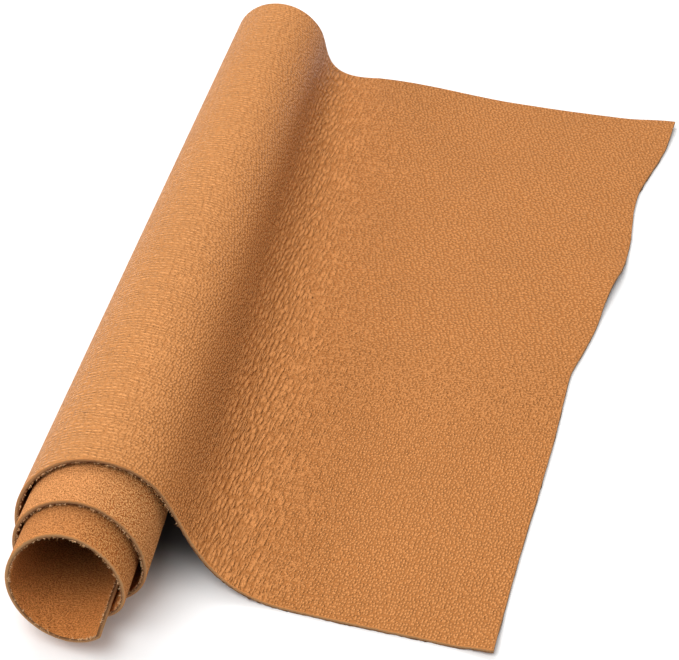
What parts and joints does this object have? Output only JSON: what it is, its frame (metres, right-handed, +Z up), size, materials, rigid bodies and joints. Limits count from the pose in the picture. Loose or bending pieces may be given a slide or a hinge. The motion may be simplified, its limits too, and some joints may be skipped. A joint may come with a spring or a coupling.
{
  "type": "leather hide",
  "caption": "Length of pebble-grained tan leather, one end rolled up loosely with the grain side out and the rest lying flat, with a wavy natural right edge.",
  "frame": {"origin": "middle of the bottom of the whole hide, on the surface that it lies on", "axes": "+X to the right across the hide, from the roll to the wavy edge; +Y away along the roll, towards its recessed end; +Z up"},
  "size_m": [0.2013, 0.3378, 0.0479],
  "materials": {
    "leather": "semi-matt pebbled grain side, suede flesh side"
  },
  "bodies": {
    "root": {"hide": "leather"}
  },
  "joints": []
}
